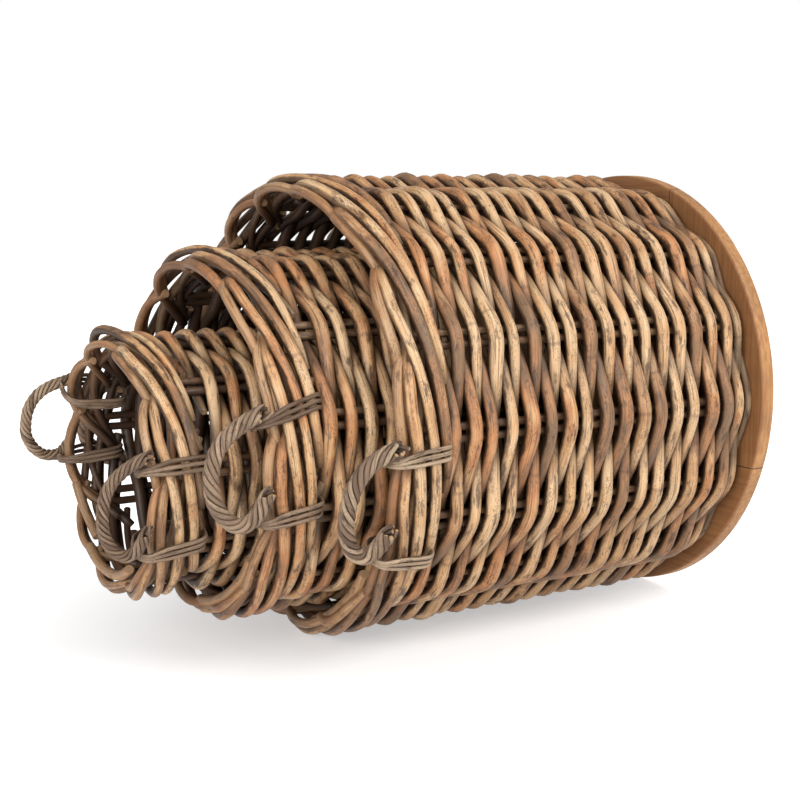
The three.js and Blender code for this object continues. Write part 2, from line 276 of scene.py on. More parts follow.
class BasketStageSettings(bpy.types.PropertyGroup):
    """Floor, light and camera."""

    floor: colour("Floor", "Floor under the baskets", 234, 234, 234)
    floor_seen: colour("Floor in view", "Floor as the camera sees it, without its glow", 214, 214, 214)
    glow: number("Glow", "Light added to the floor in view", 0.45)
    light: number("Light", "Strength of the main lamp", 37.5)
    sky: number("Sky", "Strength of the light from all around", 0.5)
    camera_place: FloatVectorProperty(
        name="Camera", description="Where the camera stands", default=(-0.7596, -1.3288, 0.4778),
        unit="LENGTH", subtype="TRANSLATION", size=3,
    )
    camera_aim: FloatVectorProperty(
        name="Aim", description="Direction of the view", default=(0.50781, 0.84868, -0.14787),
        subtype="DIRECTION", size=3,
    )
    lens: number("Lens", "Focal length in millimetres", 62.03)


SETTINGS = {
    "basket_wall": BasketWallSettings,
    "basket_border": BasketBorderSettings,
    "basket_handle": BasketHandleSettings,
    "basket_colour": BasketColourSettings,
    "basket_stage": BasketStageSettings,
}


@dataclass
class Basket:
    """How one basket is made and where it stands in the frame. Lengths are in metres where
    nothing else is said, and angles in degrees above the near side. Its outer face is as far from
    its axis as the board's edge."""

    name: str
    # Pairs of stakes, and the angle of the first one
    stake_pairs: int
    first_stake: float
    # Bands of the wall, the rows of each, the range of its rods' tones, and the basket's seed
    bands: int
    band_rows: int
    tones: tuple
    seed: int
    # Thickness of the border's rods
    border_rod: float
    # Angles, and how many millimetres the rim stands back at them
    rim: tuple
    # Stakes whose border rod stands proud: at which angle, and how much
    proud: dict
    # Both ends of the thick rods in the mouth: millimetres behind the opening and under the
    # basket's outer face, and angle
    butts: tuple
    # Thickness of the handles' rope, how far it reaches out, and how far it sags
    rope: float
    reach: float
    sag: dict
    # How far below its handle's middle a lashing starts at the opening and ends behind the border
    lashings: dict

    def __post_init__(self):
        board_low, board_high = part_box(f"{self.name}_base_board")
        cage_low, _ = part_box(f"{self.name}_stakes_and_border")
        band_low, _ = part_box(f"{self.name}_weave_band_1")
        foot_low, foot_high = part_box(f"{self.name}_weave_foot")
        self.body = f"{self.name}_basket"
        self.interval = math.tau / self.stake_pairs
        self.front = cage_low.x
        self.axis = (board_low.z + board_high.z) / 2
        self.radius = (board_high.z - board_low.z) / 2
        self.wall_start = band_low.x - self.front
        self.foot_start = foot_low.x - self.front
        self.wall_end = foot_high.x - self.front
        self.face = board_low.x - self.front
        self.back = board_high.x - self.front

    @property
    def rows(self):
        return self.bands * self.band_rows + FOOT_ROWS

    def stake_angles(self, stakes):
        """Angles of places that are counted in stakes."""
        return math.radians(self.first_stake) + stakes * self.interval

    def points(self, places, radii, angles):
        """Points behind the opening, away from the axis and at angles above the near side."""
        x = self.front + np.broadcast_to(places, np.shape(angles))
        return np.stack([x, -radii * np.cos(angles), self.axis + radii * np.sin(angles)], axis=-1)

    def outward(self, angles):
        """Directions away from the axis."""
        return np.stack([np.zeros_like(angles), -np.cos(angles), np.sin(angles)], axis=-1)

    def rim_shift(self, angles):
        """How far the rim stands back at some angles, because the plait isn't quite level."""
        degrees = (np.degrees(angles) + 90) % 360 - 90
        marks, shifts = np.array(self.rim).T
        return np.interp(degrees, marks, shifts) / 1000

    def shading(self, points):
        """How deep points lie in the wall, from 0 at its outer face to 1 at its inner one, and how
        open to the light the inner side is, from 1 at the rim to 0 further in."""
        away = np.hypot(points[..., 1], points[..., 2] - self.axis)
        depth = np.clip((self.radius - away) / WALL_DEPTH, 0, 1)
        rim = np.interp(points[..., 0] - self.front, RIM_LIGHT, (1, 0))
        return depth, rim * np.interp(depth, INNER_SIDE, (0, 1))

    def narrowing(self, places, wall):
        """How far the wall is drawn in at some distances behind the opening."""
        return wall.foot_narrowing * np.clip((places - self.foot_start) / wall.foot_length, 0, 1)


BASKETS = (
    Basket(
        name="large", stake_pairs=16, first_stake=0.0,
        bands=8, band_rows=4, tones=(0.0, 1.0), seed=11,
        border_rod=0.0108, rim=((-90, 0), (-30, 3), (10, 7), (40, 8), (62, 2), (90, 0), (180, 0)),
        proud={},
        butts=(((16, 18, -77), (17, 31, -43)), ((20, 9.5, -77), (22, 27, -47))),
        rope=0.017, reach=0.039, sag={"near": 0.002, "far": 0.002},
        lashings=dict.fromkeys(("near", "far"), {"lower": (0.0577, 0.0617), "upper": (-0.050, -0.057)}),
    ),
    Basket(
        name="medium", stake_pairs=12, first_stake=11.5,
        bands=4, band_rows=6, tones=(0.0, 1.0), seed=23,
        border_rod=0.0103, rim=((-90, 0), (0, 4), (20, 7), (45, 0), (90, 0), (180, 0)),
        proud={4: (103, 0.004)},
        butts=(((12, 19, -89), (17, 31, -41)), ((14, 11, -88), (20, 24, -44))),
        rope=0.016, reach=0.049, sag={"near": 0.021, "far": 0.012},
        lashings=dict.fromkeys(("near", "far"), {"lower": (0.0648, 0.055), "upper": (-0.032, -0.050)}),
    ),
    Basket(
        name="small", stake_pairs=9, first_stake=7.0,
        bands=2, band_rows=8, tones=(0.2, 0.8), seed=37,
        border_rod=0.0094, rim=((-90, 0), (0, 3), (50, 3), (90, 0), (180, 0)),
        proud={3: (102, 0.008)},
        butts=(((12, 20, -162), (20, 25, -128)), ((10, 20, -125), (12, 30, -62))),
        rope=0.0125, reach=0.038, sag={"near": 0.015, "far": 0.005},
        lashings={
            "near": {"lower": (0.058, 0.0485), "upper": (-0.0296, -0.0335)},
            "far": {"lower": (0.042, 0.036), "upper": (-0.047, -0.041)},
        },
    ),
)


def wander(random, count, size, coarse=6):
    """A smooth random walk of the given size about zero, one value for each step."""
    marks = np.arange(-1, count // coarse + 3)
    values = random.uniform(-size, size, len(marks))
    return through(np.column_stack([marks * coarse, values]), np.arange(count))[:, 0]


def through(rows, at):
    """Values of a smooth curve through rows of (place, value, ...), at the given places."""
    rows = np.asarray(rows, float)
    places, values = rows[:, 0], rows[:, 1:]
    slopes = np.gradient(values, places, axis=0)
    cell = np.clip(np.searchsorted(places, at) - 1, 0, len(places) - 2)
    width = (places[cell + 1] - places[cell])[:, None]
    share = ((at - places[cell]) / width[:, 0])[:, None]
    rise = values[cell + 1] - values[cell]
    bend_in = slopes[cell] * width - rise
    bend_out = rise - slopes[cell + 1] * width
    return values[cell] + rise * share + share * (1 - share) * (bend_in * (1 - share) + bend_out * share)


def unit(vectors):
    return vectors / np.linalg.norm(vectors, axis=-1, keepdims=True)


def lengths_along(path):
    """How far along a path each of its points lies."""
    return np.concatenate([[0], np.cumsum(np.linalg.norm(np.diff(path, axis=0), axis=1))])


def picked_tone(random, tones):
    """A random tone within a range."""
    return np.interp(random.random(), (0, 1), tones)


def linked(name, data):
    """An object in the scene that carries the given data."""
    made = bpy.data.objects.new(name, data)
    bpy.context.scene.collection.objects.link(made)
    return made


def made_object(bm, name, finishes):
    """Turns a bmesh into an object with the given materials."""
    mesh = bpy.data.meshes.new(name)
    bm.to_mesh(mesh)
    bm.free()
    for finish in finishes:
        mesh.materials.append(finish)
    return linked(name, mesh)


class RodPiece:
    """One piece made of many round rods, with the maps that its finish reads."""

    def __init__(self, sides, chamfer):
        self.sides = sides
        self.chamfer = chamfer
        self.cells = 0
        self.mesh = bmesh.new()
        loops, points, faces = self.mesh.loops.layers, self.mesh.verts.layers, self.mesh.faces.layers
        self.along = loops.uv.new("UVMap")
        self.baked = loops.uv.new("OFBake")
        self.tone = points.float.new("tone")
        # Maps for the painted shade: how deep a point lies in the wall, and how much light reaches it
        # from the rim
        self.shade = points.float.new("shade")
        self.rim = points.float.new("rim")
        self.cell = faces.int.new("cell")

    def add_rod(self, path, thickness, outward, tone, basket=None):
        """Rolls a flat grid round a path. Thickness is one number or one for each point. A rod
        that is given its basket gets maps for painted shade by its depth in the wall and for the light
        at the rim."""
        radii = np.broadcast_to(np.asarray(thickness, float) / 2, len(path)).copy()
        path, radii, outward = self.with_chamfers(path, radii, outward)
        tangents = unit(np.gradient(path, axis=0))
        across = unit(np.cross(outward, tangents))
        up = np.cross(tangents, across)
        turns = np.linspace(0, math.tau, self.sides + 1)[:, None, None]
        skin = path + radii[:, None] * (np.cos(turns) * up + np.sin(turns) * across)
        lengths = lengths_along(path)
        steps = len(path) - 1
        made = bmesh.ops.create_grid(
            self.mesh, x_segments=steps, y_segments=self.sides, size=0.5, calc_uvs=True
        )["verts"]
        skin = skin.reshape(-1, 3)
        shade, rim = basket.shading(skin) if basket else np.zeros((2, len(skin)))
        faces = set()
        for vertex, place, dark, lit in zip(made, skin, shade, rim):
            vertex.co = place
            vertex[self.tone] = tone
            vertex[self.shade] = dark
            vertex[self.rim] = lit
            faces.update(vertex.link_faces)
        for face in faces:
            face.smooth = True
            columns = [loop[self.along].uv.x * steps for loop in face.loops]
            column = round(min(columns))
            face[self.cell] = self.cells + column
            for loop, place in zip(face.loops, columns):
                around = loop[self.along].uv.y
                loop[self.baked].uv = (place - column, around)
                loop[self.along].uv = (lengths[round(place)], around)
        self.cells += steps

    def with_chamfers(self, path, radii, outward):
        """Adds a short narrowing at both ends of a rod."""
        outward = np.broadcast_to(outward, path.shape)
        first = path[0] + self.chamfer * unit(path[1] - path[0])
        last = path[-1] + self.chamfer * unit(path[-2] - path[-1])
        path = np.concatenate([path[:1], [first], path[1:-1], [last], path[-1:]])
        ends = radii[[0, -1]] - self.chamfer
        radii = np.concatenate([ends[:1], radii, ends[1:]])
        outward = np.concatenate([outward[:1], outward, outward[-1:]])
        return path, radii, outward

    def finish(self, name, finishes):
        """Closes the rods' seams and ends and returns the piece as an object."""
        bm = self.mesh
        bmesh.ops.remove_doubles(bm, verts=bm.verts[:], dist=1e-6)
        open_edges = [edge for edge in bm.edges if edge.is_boundary]
        for face in bmesh.ops.holes_fill(bm, edges=open_edges, sides=0)["faces"]:
            face.smooth = False
            face.material_index = 1
            face[self.cell] = self.cells
            self.cells += 1
            for i, loop in enumerate(face.loops):
                turn = math.tau * i / len(face.loops)
                loop[self.baked].uv = (0.5 + 0.4 * math.cos(turn), 0.5 + 0.4 * math.sin(turn))
        self.lay_out_lanes()
        bm.faces.layers.int.remove(self.cell)
        return made_object(bm, name, finishes)

    def lay_out_lanes(self):
        """Packs the rods' strips side by side in lanes, so that nothing shares its place."""
        columns_per_lane = 4
        margin = 0.03
        lanes = max(1, round(math.sqrt(self.cells / columns_per_lane)))
        columns = math.ceil(self.cells / lanes)
        for face in self.mesh.faces:
            lane, column = divmod(face[self.cell], columns)
            for loop in face.loops:
                x, y = loop[self.baked].uv
                height = margin + (1 - 2 * margin) * y
                loop[self.baked].uv = ((column + x) / columns, (lane + height) / lanes)


def place_piece(piece, basket, slot, *nodes):
    """Lets a piece stand for its CAD nodes and move with its basket."""
    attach(piece, basket.body)
    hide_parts(*nodes)


def wave(phase, squareness):
    """The weave's swing at a phase that is a whole number of pi at every stake."""
    return (np.cos(phase) + squareness * np.cos(3 * phase)) / (1 + squareness)


@dataclass
class Row:
    """One row of the weave: its number, its place and its rods' thickness."""

    index: int
    place: float
    thickness: float


def wall_rows(basket, wall, random):
    """Rows from the border to the board, touching one another where they cross."""
    share = 1 + random.uniform(-wall.rod_variation, wall.rod_variation, basket.rows)
    share[-2:] *= wall.last_rows
    length = basket.wall_end - basket.wall_start
    thickness = share * length / share.sum()
    places = basket.wall_start + np.cumsum(thickness) - thickness / 2
    return [Row(i, place, thick) for i, (place, thick) in enumerate(zip(places, thickness))]


def drift(basket, angles, row, size):
    """A slow waviness of the wall that neighbouring rows share."""
    total = np.zeros_like(angles)
    for lobe in (2, 3, 5):
        start = basket.seed * lobe + DRIFT_STEP * row * (lobe - 1)
        total += np.sin(lobe * angles + start) / 3
    return size * total


def rod_cuts(first, last, random):
    """Stakes behind which one rod ends and the next begins, an even count apart."""
    cuts = [first]
    while last - cuts[-1] > LAST_ROD_SPAN:
        cuts.append(cuts[-1] + 2 * int(random.integers(*HALF_ROD_SPANS)))
    return cuts + [last]


def add_wall_rods(piece, basket, wall, row, first, last, random):
    """Weaves rods from one stake to another, in front of every second one."""
    cuts = rod_cuts(first, last, random)
    for begin, end in zip(cuts, cuts[1:]):
        overlap = wall.tip_overlap
        steps = round((end - begin + 2 * overlap) * STEPS_PER_INTERVAL)
        stakes = np.linspace(begin - overlap, end + overlap, steps + 1)
        angles = basket.stake_angles(stakes)
        turns = (stakes - first) / basket.stake_pairs
        ends = np.minimum(stakes - stakes[0], stakes[-1] - stakes)
        taper = np.clip(1 - ends / wall.tip_length, 0, 1)
        share = 1 + random.uniform(-ROD_DIFFERENCE, ROD_DIFFERENCE)
        full = row.thickness * (share + wander(random, len(stakes), ROD_WAVERING, 10))
        side = np.where(stakes < (begin + end) / 2, 1, -1)
        phase = math.pi * (stakes + (row.index if basket.stake_pairs % 2 == 0 else 0))
        bent = wave(phase, wall.squareness)
        full = full * (wall.crossing + (wall.elbow - wall.crossing) * np.abs(bent))
        thickness = full + (wall.tip_thickness - full) * taper
        swing = wall.stake_thickness / 2 + thickness / 2 - wall.press
        places = row.place + side * taper * wall.tip_thickness * TIP_ASIDE
        if basket.stake_pairs % 2:
            places = places + row.thickness * turns
        places = places + drift(basket, angles, row.index, wall.wander)
        places = places + wander(random, len(stakes), wall.wander / 2)
        radii = basket.radius - wall.setback - basket.narrowing(places, wall) + swing * bent
        radii = radii + wander(random, len(stakes), TREMBLE["wall"])
        room = wall.room * (1 + np.sin(angles))
        inner = basket.radius - wall.depth - room + thickness / 2
        radii = np.clip(radii, inner, basket.radius + room - thickness / 2)
        path = basket.points(places, radii, angles)
        tone = picked_tone(random, basket.tones)
        piece.add_rod(path, thickness, basket.outward(angles), tone, basket)


def build_walls(basket, settings, finishes):
    """Makes one piece for every band of the wall and one for its foot."""
    wall = settings.basket_wall
    random = np.random.default_rng(basket.seed)
    rows = wall_rows(basket, wall, random)
    nodes = [f"{basket.name}_weave_band_{i + 1}" for i in range(basket.bands)]
    groups = [rows[i * basket.band_rows:(i + 1) * basket.band_rows] for i in range(basket.bands)]
    nodes.append(f"{basket.name}_weave_foot")
    groups.append(rows[-FOOT_ROWS:])
    for node, group in zip(nodes, groups):
        piece = RodPiece(ROD_SIDES, ROD_CHAMFER)
        # Over an odd number of stake pairs the rods wind as a helix, over an even one in rings
        if basket.stake_pairs % 2:
            start = group[0].index * basket.stake_pairs
            end = start + len(group) * basket.stake_pairs
            first, last = start + 1 - start % 2, end + 1 - end % 2
            pitch = (basket.wall_end - basket.wall_start) / (basket.rows + 1)
            place = basket.wall_start + pitch / 2 + pitch * (first / basket.stake_pairs)
            add_wall_rods(piece, basket, wall, Row(0, place, pitch), first, last, random)
        else:
            for row in group:
                first = 2 * int(random.integers(0, basket.stake_pairs // 2)) + (row.index + 1) % 2
                add_wall_rods(piece, basket, wall, row, first, first + basket.stake_pairs, random)
        place_piece(piece.finish(f"{node}_rods", finishes), basket, "weave_cane", node)


def add_stakes(piece, basket, wall, random):
    """Sets two stakes side by side at every stake place, drawn in at the foot."""
    foot, face = basket.foot_start, basket.face
    # Under the border and where it ends, over and in the foot, and down into the board
    corners = (
        STAKE_TOP, RIM_ZONE[1], foot - 0.012, foot + 0.004, (foot + face) / 2, face - 0.004,
        face + STAKE_SEAT,
    )
    at = np.linspace(0, len(corners) - 1, STAKE_STEPS + 1)
    places = np.interp(at, np.arange(len(corners)), corners)
    for i in range(basket.stake_pairs):
        for side in (-0.5, 0.5):
            radii = basket.radius - wall.setback - basket.narrowing(places, wall)
            shift = side * wall.stake_spread + wander(random, len(places), TREMBLE["stake"])
            angles = basket.stake_angles(i) + shift / radii
            path = basket.points(places, radii, angles)
            tone = picked_tone(random, STAKE_TONES)
            piece.add_rod(path, wall.stake_thickness, basket.outward(angles), tone, basket)


def add_border_rod(piece, basket, border, course, share, stake, random):
    """Lays one rod of the plait, from behind its stake and round the opening."""
    travelled = np.arange(course[0][0], course[-1][0] + 0.02, 1 / STEPS_PER_INTERVAL)
    behind, under = through(course, travelled).T / 1000
    angles = basket.stake_angles(stake - travelled)
    thickness = basket.border_rod * share * (1 + random.uniform(-border.variation, border.variation))
    behind = behind + basket.rim_shift(angles) * np.interp(behind, RIM_ZONE, (1, 0))
    behind = behind + random.uniform(-border.lean, border.lean) * np.linspace(-1, 1, len(travelled))
    behind = behind + wander(random, len(travelled), border.wander, STEPS_PER_INTERVAL)
    radii = basket.radius + border.rise - thickness / 2 - under
    radii = radii + wander(random, len(travelled), border.wander * DEPTH_STRAYING)
    if course is OUTER_BORDER_ROD and stake in basket.proud:
        angle, height = basket.proud[stake]
        radii = radii + height * np.exp(-((np.degrees(angles) - angle) / PROUD_SPREAD) ** 2)
    path = basket.points(behind, radii, angles)
    piece.add_rod(path, thickness, basket.outward(angles), random.random(), basket)


def add_butts(piece, basket, border, random):
    """Lays the thick rod ends that lie along the mouth, under the plait."""
    for first, last in basket.butts:
        share = np.linspace(0, 1, 2 * STEPS_PER_INTERVAL)[:, None]
        behind, under, angles = (first + share * np.subtract(last, first)).T
        angles = np.radians(angles)
        radii = basket.radius - under / 1000 + wander(random, len(share), TREMBLE["butt"])
        path = basket.points(behind / 1000, radii, angles)
        thickness = basket.border_rod * border.butt_share
        piece.add_rod(path, thickness, basket.outward(angles), picked_tone(random, BUTT_TONES), basket)


def build_cage(basket, settings, finishes):
    """Makes a basket's stakes and the border that is plaited on them."""
    border = settings.basket_border
    random = np.random.default_rng(basket.seed + 100)
    piece = RodPiece(ROD_SIDES, ROD_CHAMFER)
    add_stakes(piece, basket, settings.basket_wall, random)
    for i in range(basket.stake_pairs):
        for course, share in BORDER_COURSES:
            add_border_rod(piece, basket, border, course, share, i, random)
    add_butts(piece, basket, border, random)
    node = f"{basket.name}_stakes_and_border"
    place_piece(piece.finish(f"{node}_rods", finishes), basket, "border_cane", node)


def handle_ends(basket, side):
    """Angles at which a handle's two lashings sit, read from the frame."""
    angles = []
    for end in ("lower", "upper"):
        low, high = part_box(f"{basket.name}_{side}_{end}_lashing")
        middle = (low + high) / 2
        angles.append(math.atan2(middle.z - basket.axis, -middle.y))
    if side == "far":
        angles = [angle % math.tau for angle in angles]
    return angles


def handle_angles(basket, ends, side, below):
    """Angles of places that lie some distance below a handle's middle."""
    turn = -1 if side == "near" else 1
    return sum(ends) / 2 + turn * np.arcsin(below / basket.radius)


def add_handle(piece, basket, handle, ends, side, random):
    """Twists strands round a sagging loop whose tips lie against the border."""
    root = basket.radius - handle.inset
    half_angle = abs(ends[1] - ends[0]) / 2
    half_width = root * math.sin(half_angle)
    plane = root * math.cos(half_angle)
    middle = sum(ends) / 2
    outward = basket.outward(np.array([middle]))[0]
    down = np.array([0.0, outward[2], -outward[1]]) * (-1 if side == "near" else 1)
    strand_thickness = basket.rope * handle.strand_share
    lay = basket.rope * handle.lay_share
    path = ROPE_PATH if side == "near" else FAR_ROPE_PATH
    rows = np.column_stack([np.linspace(0, 1, len(path)), path])
    at = np.linspace(0, 1, ROPE_STEPS + 1)
    reach, below, lift = through(rows, at).T
    opening = np.array([basket.front, 0.0, basket.axis])
    forward = np.array([1.0, 0.0, 0.0])
    loop = (
        opening - reach[:, None] * basket.reach * forward + (plane + lift / 1000)[:, None] * outward
        + (below * half_width + basket.sag[side])[:, None] * down
    )
    tangents = unit(np.gradient(loop, axis=0))
    across = unit(np.cross(tangents, outward))
    over = np.cross(across, tangents)
    lengths = lengths_along(loop)
    tip = np.clip(1 - np.minimum(lengths, lengths[-1] - lengths) / TIP_LENGTH, 0, 1)
    spread = 1 - TIP_GATHERING * tip
    for strand in range(handle.strands):
        twist = math.tau * (strand / handle.strands - lengths / lay)
        offset = np.cos(twist)[:, None] * over + np.sin(twist)[:, None] * across
        strand_path = loop + (basket.rope - strand_thickness) / 2 * spread[:, None] * offset
        first, last = random.integers(0, FRAYED_STEPS, 2)
        kept = slice(first, len(at) - last)
        share = 1 + random.uniform(-STRAND_DIFFERENCE, STRAND_DIFFERENCE)
        thickness = strand_thickness * share * (1 - TIP_THINNING * tip)
        piece.add_rod(strand_path[kept], thickness[kept], offset[kept], random.random())


def add_lashing(piece, basket, handle, ends, side, end, random):
    """Winds a strand round the border, gathered at the opening and fanned out behind."""
    start_below, end_below = basket.lashings[side][end]
    count = handle.lashing_turns * len(LASHING_TURN)
    rows = np.column_stack([np.arange(count + 1), np.resize(LASHING_TURN, (count + 1, 2)) / 1000])
    at = np.linspace(0, count, count * LASHING_STEPS + 1)
    behind, above = through(rows, at).T
    inside = np.clip(behind / LASHING_END, 0, 1)
    fan = handle.gathering + (1 - handle.gathering) * np.clip(behind / LASHING_FAN, 0, 1)
    strand = handle.lashing_pitch * (at / len(LASHING_TURN) - handle.lashing_turns / 2) * fan
    below = start_below + (end_below - start_below) * inside + strand
    angles = handle_angles(basket, ends, side, below)
    path = basket.points(behind, basket.radius + above, angles)
    steps = np.gradient(path, axis=0)
    down = np.stack([np.zeros_like(angles), np.sin(angles), np.cos(angles)], axis=-1)
    facing = unit(np.cross(steps, down))
    piece.add_rod(path, handle.lashing_thickness, facing, random.random())


def build_handles(basket, settings, finishes):
    """Makes a basket's rope handles and the lashings that hold them."""
    handle = settings.basket_handle
    random = np.random.default_rng(basket.seed + 200)
    for side in ("near", "far"):
        ends = handle_ends(basket, side)
        rope = RodPiece(STRAND_SIDES, STRAND_CHAMFER)
        add_handle(rope, basket, handle, ends, side, random)
        node = f"{basket.name}_{side}_handle"
        place_piece(rope.finish(f"{node}_strands", finishes), basket, "rope_cane", node)
        for end in ("lower", "upper"):
            lashing = RodPiece(STRAND_SIDES, STRAND_CHAMFER)
            add_lashing(lashing, basket, handle, ends, side, end, random)
            node = f"{basket.name}_{side}_{end}_lashing"
            place_piece(lashing.finish(f"{node}_strand", finishes), basket, "rope_cane", node)


def build_board(basket, finishes):
    """Makes a round board with soft edges."""
    bm = bmesh.new()
    thickness = basket.back - basket.face
    bmesh.ops.create_cone(
        bm, cap_ends=True, segments=BOARD_SIDES, radius1=basket.radius, radius2=basket.radius,
        depth=thickness,
    )
    rim = [edge for edge in bm.edges if abs(edge.verts[0].co.z - edge.verts[1].co.z) < 1e-6]
    bmesh.ops.bevel(
        bm, geom=rim, offset=BOARD_EDGE, segments=3, profile=0.5, affect="EDGES", material=-1
    )
    turn = Matrix.Rotation(math.radians(90), 4, "Y")
    middle = Vector((basket.front + basket.face + thickness / 2, 0, basket.axis))
    bmesh.ops.transform(bm, matrix=Matrix.Translation(middle) @ turn, verts=bm.verts[:])
    for face in bm.faces:
        face.smooth = len(face.verts) == 4
    name = f"{basket.name}_base_board"
    piece = made_object(bm, f"{name}_planks", finishes)
    place_piece(piece, basket, "board_wood", name)


def opaque(colour_value):
    return (*colour_value, 1.0)


def tone_stops(*stops):
    """Stops of a ramp over tones, from positions and colours."""
    return [(position, opaque(value)) for position, value in stops]


class Number:
    """A value in a material's nodes that plain sums can be written on."""

    def __init__(self, finish, socket):
        self.finish = finish
        self.socket = socket

    def __add__(self, other):
        return self.finish.math("ADD", self, other)

    __radd__ = __add__

    def __sub__(self, other):
        return self.finish.math("SUBTRACT", self, other)

    def __rsub__(self, other):
        return self.finish.math("SUBTRACT", other, self)

    def __mul__(self, other):
        return self.finish.math("MULTIPLY", self, other)

    __rmul__ = __mul__

    def __truediv__(self, other):
        return self.finish.math("DIVIDE", self, other)

    def between(self, low, high):
        """From 0 at low to 1 at high, smoothly, and held outside them."""
        settings = {"interpolation_type": "SMOOTHSTEP"}
        sockets = {"Value": self, "From Min": low, "From Max": high}
        return self.finish.node("ShaderNodeMapRange", settings, sockets)


class Finish:
    """A material and the one way in which its nodes are made."""

    def __init__(self, name):
        self.material = bpy.data.materials.new(name)
        self.material.use_nodes = True
        self.tree = self.material.node_tree
        self.tree.nodes.clear()

    def node(self, kind, settings=None, sockets=None, output=0):
        """Makes a node, sets it up, fills its sockets and returns one of its outputs."""
        node = self.tree.nodes.new(kind)
        for name, value in (settings or {}).items():
            if name == "stops":
                self.set_stops(node.color_ramp, value)
            else:
                setattr(node, name, value)
        for key, value in (sockets or {}).items():
            socket = node.inputs[key] if isinstance(key, int) else self.socket(node.inputs, key)
            if isinstance(value, Number):
                self.tree.links.new(value.socket, socket)
            else:
                socket.default_value = value
        found = node.outputs[output] if isinstance(output, int) else self.socket(node.outputs, output)
        return Number(self, found)

    @staticmethod
    def socket(sockets, key):
        """A socket by its identifier or else by its name."""
        for socket in sockets:
            if socket.identifier == key:
                return socket
        return sockets[key]

    @staticmethod
    def set_stops(ramp, stops):
        while len(ramp.elements) < len(stops):
            ramp.elements.new(0.5)
        for element, (position, colour_value) in zip(ramp.elements, stops):
            element.position = position
            element.color = colour_value

    def math(self, operation, *values, clamp=False):
        settings = {"operation": operation, "use_clamp": clamp}
        return self.node("ShaderNodeMath", settings, dict(enumerate(values)))

    def attribute(self, name):
        return self.node("ShaderNodeAttribute", {"attribute_name": name}, output="Fac")

    def part(self, vector, axis):
        return self.node("ShaderNodeSeparateXYZ", sockets={"Vector": vector}, output=axis)

    def vector(self, x, y, z):
        return self.node("ShaderNodeCombineXYZ", sockets={"X": x, "Y": y, "Z": z})

    def stretched(self, vector, x, y, z):
        return self.node("ShaderNodeVectorMath", {"operation": "MULTIPLY"}, {0: vector, 1: (x, y, z)})

    def noise(self, vector, detail=2.0, roughness=0.5):
        sockets = {"Vector": vector, "Scale": 1.0, "Detail": detail, "Roughness": roughness}
        return self.node("ShaderNodeTexNoise", sockets=sockets)

    def ramp(self, factor, stops):
        return self.node("ShaderNodeValToRGB", {"stops": stops}, {"Fac": factor}, "Color")

    def mix(self, factor, a, b, blend="MIX"):
        """One colour over another. Each is worked out by nodes or comes from a setting."""
        a, b = (value if isinstance(value, Number) else opaque(value) for value in (a, b))
        settings = {"data_type": "RGBA", "blend_type": blend}
        sockets = {"Factor_Float": factor, "A_Color": a, "B_Color": b}
        return self.node("ShaderNodeMix", settings, sockets, "Result_Color")

    def tinted(self, colour_value, tint):
        """A colour times a number."""
        return self.mix(1.0, colour_value, self.vector(tint, tint, tint), "MULTIPLY")

    def surface(self, sockets):
        """Ends the material in one Principled shader."""
        shader = self.node("ShaderNodeBsdfPrincipled", sockets=sockets)
        output = self.tree.nodes.new("ShaderNodeOutputMaterial")
        self.tree.links.new(shader.socket, output.inputs["Surface"])
        return self.material


